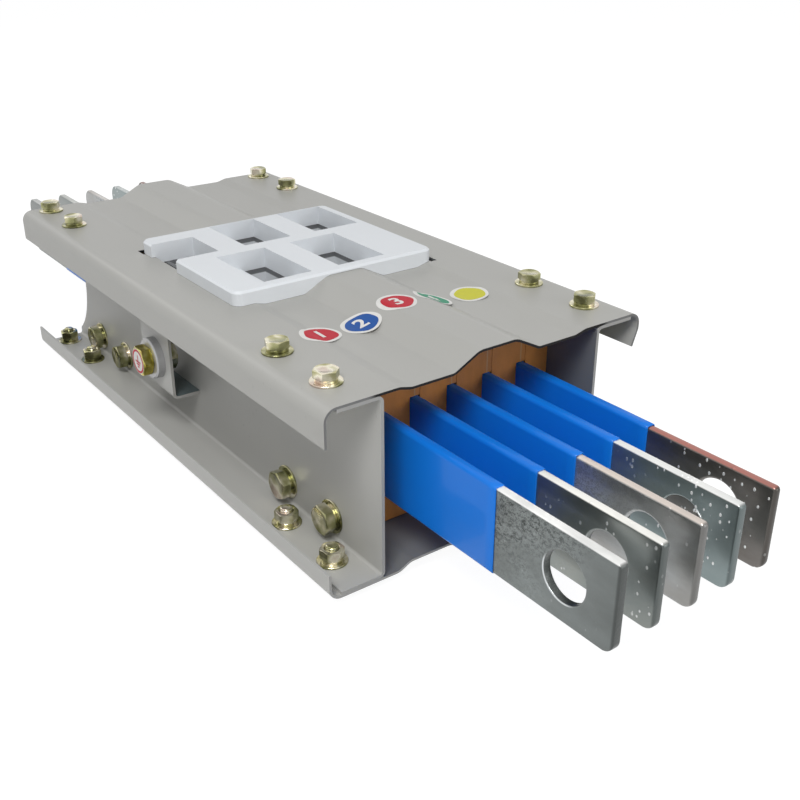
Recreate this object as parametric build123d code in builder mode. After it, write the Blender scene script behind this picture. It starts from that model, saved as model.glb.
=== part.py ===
"""Air insulated busway section: five edge-standing conductors in a bolted sheet steel duct.

X runs across the duct, Y along it and Z up. The front end, where the conductors show their
blue sleeves, is at -Y. The origin lies midway along the conductors, on the surface that the
heads of the lower cover bolts stand on.
"""
import os

from build123d import *

os.makedirs("parts", exist_ok=True)

# Duct
duct_length = 446.0
duct_height = 116.0
cover_sheet = 1.5
channel_sheet = 2.0
side_room = 25.0
groove_depth = 35.0
flange_clearance = 0.25
flange_bolt_inset = 12.0
sheet_bend = 3.0
joint_notch_radius = 60.0
joint_notch_beyond_end = 34.0

# Rolled cover section
top_lip = 22.0
bottom_lip = 17.0
lip_bend = 7.0
right_lip_break = 11.0
right_lip_toe_in = 4.0
shoulder_inner = 68.0
valley_outer = 60.0
valley_depth = 2.0
hump_foot = 31.0
hump_crest = 13.5
hump_rise = 7.0
valley_bend = 9.0
hump_foot_bend = 6.0
hump_bend = 12.0
bead_inner = 26.0
bead_rise = 4.0

# Conductors
conductor_count = 5
conductor_pitch = 27.5
bar_thickness = 5.0
bar_height = 50.0
front_reach = 148.0
back_reach = 166.0
bare_length = 82.0
sleeve_wall = 0.9
sleeve_slip = 0.1
tip_radius_top = 2.5
tip_radius_bottom = 7.0
back_tip_radius = 10.0
joint_hole = 28.0
joint_hole_setback = 33.0
contact_bare_depth = 16.0
contact_bare_margin = 3.0

# Insulating supports that clamp the conductors
support_setbacks = (50.0, 100.0)
support_thickness = 20.0
support_clearance = 0.5
support_seam = 0.3
support_edge_radius = 1.0
tie_edge_distance = 17.0

# Fasteners: thread diameter, width across flats, head height, nut height
m8 = {"thread": 8.0, "flats": 13.0, "head": 5.3, "nut": 6.5, "washer": 17.0, "washer_t": 1.6}
m10 = {"thread": 10.0, "flats": 17.0, "head": 6.4, "nut": 5.0, "washer": 21.0, "washer_t": 2.0}
m12 = {"thread": 12.0, "flats": 19.0, "head": 7.5, "nut": 10.0, "washer": 24.0, "washer_t": 2.5}
hole_clearance = 1.0
thread_stub = 4.0
thread_slip = 0.1
cover_bolt_front = (28.0, 78.0)
cover_bolt_back = (12.0, 62.0)

# Earth terminal on the left web
earth_start = 217.0
earth_width = 44.0
earth_reach = 20.0
earth_height = 50.0
earth_sheet = 2.0
earth_boss = 29.0
earth_boss_height = 6.0

# Plug-in outlet: a moulded frame with five hoppers, and a guide plate that holds five shrouds
outlet_front = 152.0
outlet_length = 139.0
outlet_proud = 2.5
outlet_corner = 6.0
outlet_top_edge = 1.5
outlet_overlap = 3.0
outlet_right_land = 7.0
outlet_clearance = 0.3
outlet_seat = 0.2
hopper_pitch = 28.75
hopper_width = 37.0
hopper_lead = 8.5
hopper_depth = 12.0
front_row_start = 8.0
front_row_length = 62.0
row_rib = 12.0
back_wall = 2.0
open_hopper_wall = 17.0
mould_wall = 2.0
throat_width = 19.0
throat_length = 40.0
guide_gap = 1.5
guide_wall = 1.5
guide_plate = 2.0
guide_margin = 3.0
guide_above_sleeve = 2.5
guide_boss = 8.0
hook_slot_length = 10.0
hook_slot_width = 5.0
hook_slot_reach = 4.0

# Places worked out from the sizes above
overall_length = front_reach + duct_length + back_reach
front = -overall_length / 2 + front_reach
back = front + duct_length
base = m8["head"] + m8["washer_t"]
top = base + duct_height
mid_height = base + duct_height / 2
web = (conductor_count - 1) / 2 * conductor_pitch + side_room
duct_width = 2 * (web + groove_depth)
flange_edge = duct_width / 2 - cover_sheet / 2 - lip_bend - flange_clearance
bolt_x = flange_edge - flange_bolt_inset
bar_top = mid_height + bar_height / 2
bar_bottom = mid_height - bar_height / 2
sleeve_top = bar_top + sleeve_slip + sleeve_wall
sleeve_bottom = bar_bottom - sleeve_slip - sleeve_wall
cover_under = top - cover_sheet
floor_over = base + cover_sheet
valley_top = top - valley_depth
crest_top = top + hump_rise
conductor_x = [(i - (conductor_count - 1) / 2) * conductor_pitch for i in range(conductor_count)]
cover_bolt_y = [front + d for d in cover_bolt_front] + [back - d for d in cover_bolt_back]
station_y = {
    "front_outer": front + support_setbacks[0],
    "front_inner": front + support_setbacks[1],
    "back_inner": back - support_setbacks[1],
    "back_outer": back - support_setbacks[0],
}
tie_z = (base + tie_edge_distance, top - tie_edge_distance)


def save(builder, name):
    """Label a finished piece and write it as its own STEP file."""
    builder.part.label = name
    export_step(builder.part, f"parts/{name}.step")


def upper_cover_line(offset):
    """Corner points of the upper cover's section, offset below its outer surface."""
    half = duct_width / 2 - offset
    left = [
        (-half, top - top_lip),
        (-half, top - offset),
        (-shoulder_inner, top - offset),
        (-valley_outer, valley_top - offset),
        (-hump_foot, valley_top - offset),
        (-hump_crest, crest_top - offset),
    ]
    right = [(-x, z) for x, z in reversed(left[1:])]
    # The right lip turns in below its break
    return left + right + [(half, top - right_lip_break), (half - right_lip_toe_in, top - top_lip)]


half_bends = [lip_bend, valley_bend, valley_bend, hump_foot_bend, hump_bend]
upper_bends = half_bends + half_bends[::-1] + [lip_bend]

# Hopper places, in two staggered rows; the first hopper is open at the moulding's left edge
outlet_y = (front + outlet_front, front + outlet_front + outlet_length)
front_row = (outlet_y[0] + front_row_start, outlet_y[0] + front_row_start + front_row_length)
back_row = (front_row[1] + row_rib, outlet_y[1] - back_wall)
open_row = (back_row[0], outlet_y[1] - open_hopper_wall)
hoppers = []
for index in range(conductor_count):
    row = open_row if index == 0 else (front_row if index % 2 else back_row)
    right = (index - (conductor_count - 1) / 2) * hopper_pitch + hopper_lead
    hoppers.append({"row": row, "left": right - hopper_width, "right": right, "open": index == 0})
outlet_top = crest_top + outlet_proud
hopper_floor = outlet_top - hopper_depth
guide_top = hopper_floor - mould_wall - guide_gap
guide_bottom = sleeve_top + guide_above_sleeve

# The cover's window for the outlet, which reaches from the left web to the last hopper
window_left = -(web - channel_sheet)
outlet_left = -window_left + outlet_overlap
outlet_right = hoppers[-1]["right"] + outlet_right_land
window_right = outlet_right - outlet_overlap
window_front = outlet_y[0] + outlet_overlap
window_back = outlet_y[1] + outlet_clearance
hook_slots = (
    (-outlet_left + hook_slot_width / 4, outlet_y[1] + hook_slot_reach - hook_slot_length / 2),
    (outlet_right + hook_slot_width / 4, outlet_y[0] + hook_slot_length / 2),
)


def box_between(low, high, mode=Mode.ADD):
    """A box from its two opposite corners, in the builder that is open."""
    size = [h - l for l, h in zip(low, high)]
    centre = [(h + l) / 2 for l, h in zip(low, high)]
    with Locations(tuple(centre)):
        Box(*size, mode=mode)


def window_sketch(shrink):
    """The outline of the window, drawn in the open sketch and shrunk all round."""
    width = window_right - window_left - 2 * shrink
    length = window_back - window_front - 2 * shrink
    with Locations(((window_left + window_right) / 2, (window_front + window_back) / 2)):
        Rectangle(width, length)


# Fastener patterns, each standing on the XY plane at the origin
def hex_prism(flats, height):
    """A hexagonal prism, the blank of a head or a nut."""
    with BuildPart() as prism:
        with BuildSketch():
            RegularPolygon(radius=flats / 2, side_count=6, major_radius=False, rotation=30)
        extrude(amount=height)
    return prism.part


def make_bolt(size, grip):
    """Hexagon bolt: head above the XY plane, shank below it."""
    head = hex_prism(size["flats"], size["head"])
    with BuildPart() as bolt:
        add(head)
        with BuildSketch():
            Circle(size["thread"] / 2)
        extrude(amount=-grip)
    return bolt.part


def make_nut(size):
    """Hexagon nut standing on the XY plane, bored to slip over its thread."""
    blank = hex_prism(size["flats"], size["nut"])
    with BuildPart() as nut:
        add(blank)
        with BuildSketch():
            Circle(size["thread"] / 2 + thread_slip)
        extrude(amount=size["nut"], mode=Mode.SUBTRACT)
    return nut.part


def make_washer(size):
    """Flat washer standing on the XY plane."""
    with BuildPart() as washer:
        with BuildSketch():
            Circle(size["washer"] / 2)
            Circle(size["thread"] / 2 + hole_clearance / 2, mode=Mode.SUBTRACT)
        extrude(amount=size["washer_t"])
    return washer.part


def place(shape, planes, name):
    """One node that holds a copy of a fastener on each plane."""
    with BuildPart() as group:
        for plane in planes:
            with Locations(plane.location):
                add(shape)
    save(group, name)


# Side channels, the right one a mirror image of the left one
channel_low = floor_over + channel_sheet / 2
channel_high = cover_under - channel_sheet / 2
web_line = -(web - channel_sheet / 2)
with BuildPart() as left_channel:
    with BuildSketch(Plane.XZ.offset(-front)):
        with BuildLine():
            FilletPolyline(
                (-flange_edge, channel_high),
                (web_line, channel_high),
                (web_line, channel_low),
                (-flange_edge, channel_low),
                radius=sheet_bend,
            )
        trace(line_width=channel_sheet)
    extrude(amount=-duct_length)
    # Round notch in the web's back end that gives room to the joint
    with BuildSketch(Plane.YZ.offset(-web)):
        with Locations((back + joint_notch_beyond_end, mid_height)):
            Circle(joint_notch_radius)
        with Locations((back + joint_notch_radius, mid_height)):
            Rectangle(2 * joint_notch_radius, 2 * (mid_height - channel_low) - channel_sheet - 2 * sheet_bend)
    extrude(amount=channel_sheet, mode=Mode.SUBTRACT)
    # Holes for the cover bolts through both flanges
    with BuildSketch(Plane.XY):
        with Locations([(-bolt_x, y) for y in cover_bolt_y]):
            Circle((m8["thread"] + hole_clearance) / 2)
    extrude(amount=top, mode=Mode.SUBTRACT)
    # Holes for the tie bolts through the web
    with BuildSketch(Plane.YZ.offset(-web)):
        with Locations([(y, z) for y in station_y.values() for z in tie_z]):
            Circle((m10["thread"] + hole_clearance) / 2)
    extrude(amount=channel_sheet, mode=Mode.SUBTRACT)
save(left_channel, "side_channel_left")

with BuildPart() as right_channel:
    mirror(left_channel.part, about=Plane.YZ)
save(right_channel, "side_channel_right")

# Upper cover: one rolled sheet with lips, shoulders, valleys and a central hump
with BuildPart() as top_cover:
    with BuildSketch(Plane.XZ.offset(-front)):
        with BuildLine():
            FilletPolyline(*upper_cover_line(cover_sheet / 2), radius=upper_bends)
        trace(line_width=cover_sheet)
    extrude(amount=-duct_length)
    with BuildSketch(Plane.XY.offset(cover_under - valley_depth - cover_sheet)):
        window_sketch(0)
        # Two short slots beside opposite corners, for the outlet's hooks
        with Locations(hook_slots):
            Rectangle(hook_slot_width, hook_slot_length)
    extrude(amount=crest_top - cover_under + 2 * cover_sheet + valley_depth, mode=Mode.SUBTRACT)
    with BuildSketch(Plane.XY.offset(cover_under)):
        with Locations([(side * bolt_x, y) for side in (-1, 1) for y in cover_bolt_y]):
            Circle((m8["thread"] + hole_clearance) / 2)
    extrude(amount=cover_sheet, mode=Mode.SUBTRACT)
save(top_cover, "top_cover")

# Lower cover: lips turned up, and two wide beads raised into the duct
half = duct_width / 2 - cover_sheet / 2
lower_left = [
    (-half, base + bottom_lip),
    (-half, base + cover_sheet / 2),
    (-shoulder_inner, base + cover_sheet / 2),
    (-valley_outer, base + bead_rise + cover_sheet / 2),
    (-hump_foot, base + bead_rise + cover_sheet / 2),
    (-bead_inner + valley_bend / 2, base + cover_sheet / 2),
]
with BuildPart() as bottom_cover:
    with BuildSketch(Plane.XZ.offset(-front)):
        with BuildLine():
            FilletPolyline(
                *(lower_left + [(-x, z) for x, z in reversed(lower_left)]),
                radius=[lip_bend] + [valley_bend] * 8 + [lip_bend],
            )
        trace(line_width=cover_sheet)
    extrude(amount=-duct_length)
    with BuildSketch(Plane.XY.offset(base)):
        with Locations([(side * bolt_x, y) for side in (-1, 1) for y in cover_bolt_y]):
            Circle((m8["thread"] + hole_clearance) / 2)
    extrude(amount=cover_sheet, mode=Mode.SUBTRACT)
save(bottom_cover, "bottom_cover")

# Conductors: tinned flat copper on edge, a joint hole at each end, and a blue sleeve between
front_tip = front - front_reach
back_tip = back + back_reach
sleeve_front = front_tip + bare_length
sleeve_back = back_tip - bare_length
for index, x in enumerate(conductor_x):
    number = index + 1
    with BuildPart() as busbar:
        with BuildSketch(Plane.YZ.offset(x - bar_thickness / 2)) as flat:
            with Locations(((front_tip + back_tip) / 2, mid_height)):
                Rectangle(overall_length, bar_height)
            corners = flat.vertices().group_by(Axis.X)
            fillet(corners[-1], radius=back_tip_radius)
            fillet(flat.vertices().group_by(Axis.X)[0].sort_by(Axis.Y)[0], radius=tip_radius_bottom)
            fillet(flat.vertices().group_by(Axis.X)[0].sort_by(Axis.Y)[-1], radius=tip_radius_top)
        extrude(amount=bar_thickness)
        with BuildSketch(Plane.YZ.offset(x - bar_thickness / 2)):
            with Locations(
                (front_tip + joint_hole_setback, mid_height),
                (back_tip - joint_hole_setback, mid_height),
            ):
                Circle(joint_hole / 2)
        extrude(amount=bar_thickness, mode=Mode.SUBTRACT)
    save(busbar, f"busbar_{number}")

    hopper = hoppers[index]
    bare_start = hopper["row"][1] - throat_length - contact_bare_margin
    bare_end = hopper["row"][1] + contact_bare_margin
    inner_x = bar_thickness / 2 + sleeve_slip
    inner_z = bar_height / 2 + sleeve_slip
    with BuildPart() as sleeve:
        with BuildSketch(Plane.XZ.offset(-sleeve_front)):
            with Locations((x, mid_height)):
                RectangleRounded(2 * (inner_x + sleeve_wall), 2 * (inner_z + sleeve_wall), sleeve_wall)
                Rectangle(2 * inner_x, 2 * inner_z, mode=Mode.SUBTRACT)
        extrude(amount=-(sleeve_back - sleeve_front))
        # Bare patch under the outlet, where a plug's jaw grips the bar
        box_between(
            (x - 2 * inner_x, bare_start, bar_top - contact_bare_depth),
            (x + 2 * inner_x, bare_end, sleeve_top + sleeve_wall),
            mode=Mode.SUBTRACT,
        )
    save(sleeve, f"busbar_sleeve_{number}")

# Supports: at each station six moulded blocks stand between the webs and clamp the sleeves
block_low = floor_over + bead_rise + support_clearance
block_high = cover_under - valley_depth - support_clearance
wall_face = web - channel_sheet - support_seam
tie_room = (m10["thread"] + support_clearance) / 2
groove_half = bar_thickness / 2 + sleeve_slip + sleeve_wall + sleeve_slip
edges_x = [-wall_face] + [x + groove_half + support_seam / 2 for x in conductor_x] + [wall_face]
for station, y in station_y.items():
    for number in range(1, len(edges_x)):
        low_x = edges_x[number - 1]
        high_x = edges_x[number]
        left = low_x + (support_seam / 2 if number > 1 else 0)
        right = high_x - (support_seam / 2 if number < len(edges_x) - 1 else 0)
        with BuildPart() as block:
            box_between(
                (left, y - support_thickness / 2, block_low),
                (right, y + support_thickness / 2, block_high),
            )
            chamfer(block.edges().filter_by(Axis.X), length=support_edge_radius)
            for groove_x in conductor_x:
                if left - conductor_pitch / 2 < groove_x < right + conductor_pitch / 2:
                    box_between(
                        (groove_x - groove_half, y - support_thickness, sleeve_bottom - sleeve_slip),
                        (groove_x + groove_half, y + support_thickness, sleeve_top + sleeve_slip),
                        mode=Mode.SUBTRACT,
                    )
            # Grooves in the upper and lower faces, by which the blocks hang between the tie bolts
            for seat, face in ((tie_z[0] + tie_room, block_low), (tie_z[1] - tie_room, block_high)):
                low_z, high_z = sorted((seat, 2 * face - seat))
                box_between(
                    (left - conductor_pitch, y - tie_room, low_z),
                    (right + conductor_pitch, y + tie_room, high_z),
                    mode=Mode.SUBTRACT,
                )
        save(block, f"support_{station}_{number}")

# Tie bolts across the duct, above and below the conductors at every support
tie_seat = web + m10["washer_t"]
tie_bolt = make_bolt(m10, 2 * tie_seat + m10["nut"] + thread_stub)
leftward = {"x_dir": (0, 1, 0), "z_dir": (-1, 0, 0)}
rightward = {"x_dir": (0, 1, 0), "z_dir": (1, 0, 0)}
tie_spots = [(y, z) for y in station_y.values() for z in tie_z]
heads = [Plane((-tie_seat, y, z), **leftward) for y, z in tie_spots]
nuts = [Plane((tie_seat, y, z), **rightward) for y, z in tie_spots]
left_seats = [Plane((-web, y, z), **leftward) for y, z in tie_spots]
right_seats = [Plane((web, y, z), **rightward) for y, z in tie_spots]
place(tie_bolt, heads, "tie_bolts")
place(make_nut(m10), nuts, "tie_nuts")
place(make_washer(m10), left_seats + right_seats, "tie_washers")

# Upper cover bolts: heads on the cover, nuts under the channel flanges
bolt_spots = [(side * bolt_x, y) for side in (-1, 1) for y in cover_bolt_y]
sheet_grip = cover_sheet + channel_sheet
cover_grip = sheet_grip + 2 * m8["washer_t"] + m8["nut"] + thread_stub
top_seats = [Plane((x, y, top)) for x, y in bolt_spots]
top_heads = [Plane((x, y, top + m8["washer_t"])) for x, y in bolt_spots]
under_flange = top - sheet_grip
under_seats = [Plane((x, y, under_flange), z_dir=(0, 0, -1)) for x, y in bolt_spots]
under_nuts = [Plane((x, y, under_flange - m8["washer_t"]), z_dir=(0, 0, -1)) for x, y in bolt_spots]
place(make_bolt(m8, cover_grip), top_heads, "top_cover_bolts")
place(make_nut(m8), under_nuts, "top_cover_nuts")
place(make_washer(m8), top_seats + under_seats, "top_cover_washers")

# Lower cover bolts: heads under the cover, where they serve as feet, nuts on the flanges
over_flange = base + sheet_grip
low_seats = [Plane((x, y, base), z_dir=(0, 0, -1)) for x, y in bolt_spots]
low_heads = [Plane((x, y, base - m8["washer_t"]), z_dir=(0, 0, -1)) for x, y in bolt_spots]
over_seats = [Plane((x, y, over_flange)) for x, y in bolt_spots]
over_nuts = [Plane((x, y, over_flange + m8["washer_t"])) for x, y in bolt_spots]
place(make_bolt(m8, cover_grip), low_heads, "bottom_cover_bolts")
place(make_nut(m8), over_nuts, "bottom_cover_nuts")
place(make_washer(m8), low_seats + over_seats, "bottom_cover_washers")

# Earth terminal: a folded bracket on the left web, with a boss and a bolt
earth_face = -(web + earth_reach)
earth_y = front + earth_start + earth_width / 2
with BuildPart() as earth_bracket:
    with BuildSketch(Plane.XZ.offset(-(front + earth_start))):
        with BuildLine():
            FilletPolyline(
                (-web, mid_height - earth_height / 2 + earth_sheet / 2),
                (earth_face + earth_sheet / 2, mid_height - earth_height / 2 + earth_sheet / 2),
                (earth_face + earth_sheet / 2, mid_height + earth_height / 2 - earth_sheet / 2),
                (-web, mid_height + earth_height / 2 - earth_sheet / 2),
                radius=sheet_bend,
            )
        trace(line_width=earth_sheet)
    extrude(amount=-earth_width)
    with BuildSketch(Plane.YZ.offset(earth_face)):
        with Locations((earth_y, mid_height)):
            Circle((m12["thread"] + hole_clearance) / 2)
    extrude(amount=earth_sheet, mode=Mode.SUBTRACT)
save(earth_bracket, "earth_bracket")

with BuildPart() as boss:
    with BuildSketch(Plane.YZ.offset(earth_face - earth_boss_height)):
        with Locations((earth_y, mid_height)):
            Circle(earth_boss / 2)
            Circle((m12["thread"] + hole_clearance) / 2, mode=Mode.SUBTRACT)
    extrude(amount=earth_boss_height)
    chamfer(boss.edges().group_by(Axis.X)[0].sort_by(SortBy.LENGTH)[-1], length=earth_sheet / 2)
save(boss, "earth_boss")

earth_grip = earth_boss_height + earth_sheet + m12["nut"]
earth_head = Plane((earth_face - earth_boss_height, earth_y, mid_height), **leftward)
earth_back = Plane((earth_face + earth_sheet, earth_y, mid_height), **rightward)
place(make_bolt(m12, earth_grip), [earth_head], "earth_bolt")
place(make_nut(m12), [earth_back], "earth_nut")

# Outlet top: a moulded frame whose skirt follows the rolled cover, with five hoppers
with BuildPart() as outlet:
    with BuildSketch(Plane.XY.offset(valley_top - valley_depth)) as rim:
        with Locations(((outlet_right - outlet_left) / 2, sum(outlet_y) / 2)):
            RectangleRounded(outlet_right + outlet_left, outlet_length, outlet_corner)
    extrude(amount=outlet_top - valley_top + valley_depth)
    chamfer(outlet.faces().sort_by(Axis.Z)[-1].edges(), length=outlet_top_edge)
    # Everything below the cover's outer surface goes, then the body inside the window returns
    with BuildSketch(Plane.XZ.offset(-outlet_y[0] + outlet_length)):
        with BuildLine():
            skirt_bends = [bend + cover_sheet / 2 for bend in upper_bends]
            surface = FilletPolyline(*upper_cover_line(-outlet_seat), radius=skirt_bends)
            Line(surface @ 0, surface @ 1)
        make_face()
    extrude(amount=-3 * outlet_length, mode=Mode.SUBTRACT)
    with BuildSketch(Plane.XY.offset(hopper_floor - mould_wall)):
        window_sketch(outlet_clearance)
    extrude(amount=outlet_top - outlet_top_edge - hopper_floor + mould_wall)
    # Hollow the moulding from below, apart from the walls round the hoppers
    with BuildSketch(Plane.XY.offset(hopper_floor - mould_wall)):
        window_sketch(outlet_clearance + mould_wall)
        for hopper in hoppers:
            centre = ((hopper["left"] + hopper["right"]) / 2, sum(hopper["row"]) / 2)
            with Locations(centre):
                Rectangle(
                    hopper_width + 2 * mould_wall,
                    hopper["row"][1] - hopper["row"][0] + 2 * mould_wall,
                    mode=Mode.SUBTRACT,
                )
    extrude(amount=outlet_top - hopper_floor, mode=Mode.SUBTRACT)
    for hopper in hoppers:
        box_between(
            (hopper["left"], hopper["row"][0], hopper_floor),
            (hopper["right"], hopper["row"][1], outlet_top + mould_wall),
            mode=Mode.SUBTRACT,
        )
        # The throat stands in the floor's right back corner, and the open hopper has no floor
        throat_left = hopper["left"] if hopper["open"] else hopper["right"] - throat_width
        box_between(
            (throat_left, hopper["row"][1] - throat_length, hopper_floor - 2 * mould_wall),
            (hopper["right"], hopper["row"][1], hopper_floor),
            mode=Mode.SUBTRACT,
        )
save(outlet, "outlet_frame")

# Outlet guide: a plate under the cover that holds the contact shrouds
throats = []
for hopper in hoppers:
    throats.append((hopper["right"] - throat_width / 2, hopper["row"][1] - throat_length / 2))
with BuildPart() as guide:
    guide_left = window_left + outlet_clearance
    guide_right = window_right + guide_margin
    with BuildSketch(Plane.XY.offset(guide_top - guide_plate)):
        guide_length = window_back - window_front + 2 * guide_margin
        with Locations(((guide_left + guide_right) / 2, (window_front + window_back) / 2)):
            RectangleRounded(guide_right - guide_left, guide_length, guide_margin)
        with Locations(throats):
            Rectangle(
                throat_width + 2 * guide_wall + outlet_clearance,
                throat_length + 2 * guide_wall + outlet_clearance,
                mode=Mode.SUBTRACT,
            )
    extrude(amount=guide_plate)
    # Short bosses that seat the plate against the frame's hopper floors
    boss_spots = [(hopper["left"] + guide_boss, hopper["row"][0] + guide_boss) for hopper in hoppers[1:]]
    with BuildSketch(Plane.XY.offset(guide_top)):
        with Locations(boss_spots):
            Circle(guide_boss / 2)
    extrude(amount=guide_gap)
save(guide, "outlet_guide")

# Contact shrouds: a chimney hung in the plate by its rim, down to each conductor's bare patch
for number, throat in enumerate(throats, 1):
    with BuildPart() as shroud:
        with BuildSketch(Plane.XY.offset(guide_bottom)):
            with Locations(throat):
                Rectangle(throat_width + 2 * guide_wall, throat_length + 2 * guide_wall)
        extrude(amount=guide_top - guide_bottom)
        with BuildSketch(Plane.XY.offset(guide_top)):
            with Locations(throat):
                Rectangle(throat_width + 4 * guide_wall, throat_length + 4 * guide_wall)
        extrude(amount=guide_gap - outlet_clearance)
        with BuildSketch(Plane.XY.offset(guide_bottom)):
            with Locations(throat):
                Rectangle(throat_width, throat_length)
        extrude(amount=guide_top - guide_bottom + guide_gap, mode=Mode.SUBTRACT)
    save(shroud, f"contact_shroud_{number}")
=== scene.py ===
"""Dresses the air insulated busway and sets it on a pale floor under soft light.

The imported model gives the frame: X across the duct, Y along the conductors, Z up, in metres.
"""
import logging
import math
from dataclasses import dataclass, field, replace
from enum import Enum
from typing import Any, Callable, Sequence

import bmesh
import bpy
from mathutils import Matrix, Vector
from mathutils.bvhtree import BVHTree

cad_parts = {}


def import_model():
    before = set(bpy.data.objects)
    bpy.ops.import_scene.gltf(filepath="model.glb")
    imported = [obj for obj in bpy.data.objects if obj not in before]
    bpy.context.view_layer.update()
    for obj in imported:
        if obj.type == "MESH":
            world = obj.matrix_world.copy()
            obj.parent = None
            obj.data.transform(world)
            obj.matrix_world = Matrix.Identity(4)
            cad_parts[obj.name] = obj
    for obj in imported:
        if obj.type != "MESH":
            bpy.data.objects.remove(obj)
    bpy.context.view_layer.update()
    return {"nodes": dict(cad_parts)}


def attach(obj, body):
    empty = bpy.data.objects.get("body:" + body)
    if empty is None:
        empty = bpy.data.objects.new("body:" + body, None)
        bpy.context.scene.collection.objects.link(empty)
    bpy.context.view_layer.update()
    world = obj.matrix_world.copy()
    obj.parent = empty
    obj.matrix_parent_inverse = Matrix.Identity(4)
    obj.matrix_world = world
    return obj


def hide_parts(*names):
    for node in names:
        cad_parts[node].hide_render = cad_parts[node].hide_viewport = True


LOG = logging.getLogger("busway")
MM = 0.001

Point = tuple[float, float, float]
Colour = tuple[float, float, float]
Mesh = bpy.types.Mesh
Object = bpy.types.Object


# Node trees


def _operator(operation: str, reflected: bool = False) -> Callable[["Wire", Any], "Wire"]:
    """A Python operator on wires that adds the Math node of an operation."""

    def apply(self: "Wire", other: Any) -> "Wire":
        """Adds the node."""
        return self.maths(operation, other, self) if reflected else self.maths(operation, self, other)

    return apply


class Wire:
    """A socket's value; Python's operators on it add Math nodes."""

    def __init__(self, tree: "Tree", socket: bpy.types.NodeSocket) -> None:
        """Keeps the output socket and the tree that new nodes go into."""
        self.tree = tree
        self.socket = socket

    def maths(self, operation: str, *values: Any) -> "Wire":
        """Adds one Math node, with numbers or wires for its sockets."""
        return self.tree.wire("ShaderNodeMath", dict(enumerate(values)), operation=operation)

    __add__ = _operator("ADD")
    __radd__ = _operator("ADD", True)
    __sub__ = _operator("SUBTRACT")
    __rsub__ = _operator("SUBTRACT", True)
    __mul__ = _operator("MULTIPLY")
    __truediv__ = _operator("DIVIDE")
    __gt__ = _operator("GREATER_THAN")
    __lt__ = _operator("LESS_THAN")
    __pow__ = _operator("POWER")

    def __abs__(self) -> "Wire":
        """Size without sign."""
        return self.maths("ABSOLUTE", self)

    def ease(self, low: float, high: float) -> "Wire":
        """Smooth step from nought at low to one at high."""
        limits = {"Value": self, "From Min": low, "From Max": high}
        return self.tree.wire("ShaderNodeMapRange", limits, interpolation_type="SMOOTHSTEP")


class Tree:
    """A node tree that is built by calls."""

    def __init__(self, tree: bpy.types.NodeTree) -> None:
        """Empties the tree."""
        self.tree = tree
        self.tree.nodes.clear()

    def node(self, kind: str, values: dict | None = None, **settings: Any) -> bpy.types.Node:
        """Adds a node, sets its options and fills its sockets.

        Args:
            kind: The node's type.
            values: Numbers, colours or wires by socket name or number.
            **settings: Options by name.

        Returns:
            The new node.
        """
        made = self.tree.nodes.new(kind)
        for name, value in settings.items():
            setattr(made, name, value)
        for key, value in (values or {}).items():
            self.fill(made.inputs[key], value)
        return made

    def wire(self, kind: str, values: dict | None = None, out: int | str = 0, **settings: Any) -> Wire:
        """Adds a node in the same way and gives one of its outputs."""
        return Wire(self, self.node(kind, values, **settings).outputs[out])

    def fill(self, socket: bpy.types.NodeSocket, value: Any) -> None:
        """Links a wire to a socket or sets the socket's own value."""
        if isinstance(value, Wire):
            self.tree.links.new(value.socket, socket)
        elif isinstance(value, tuple) and len(value) == 3 and len(socket.default_value) == 4:
            socket.default_value = (*value, 1.0)
        else:
            socket.default_value = value

    def seen(self) -> Wire:
        """One where a ray comes from the eye, from gloss or through glass."""
        path = self.node("ShaderNodeLightPath")
        rays = ("Camera", "Glossy", "Transmission")
        eye, gloss, glass = (Wire(self, path.outputs[f"Is {ray} Ray"]) for ray in rays)
        return eye.maths("MAXIMUM", eye.maths("MAXIMUM", eye, gloss), glass)

    def finish(self, output: str, light: Wire, sight: Wire) -> None:
        """Ends the tree with one shader for light and another for the eye and for gloss."""
        self.node(output, {"Surface": self.wire("ShaderNodeMixShader", {0: self.seen(), 1: light, 2: sight})})


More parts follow.
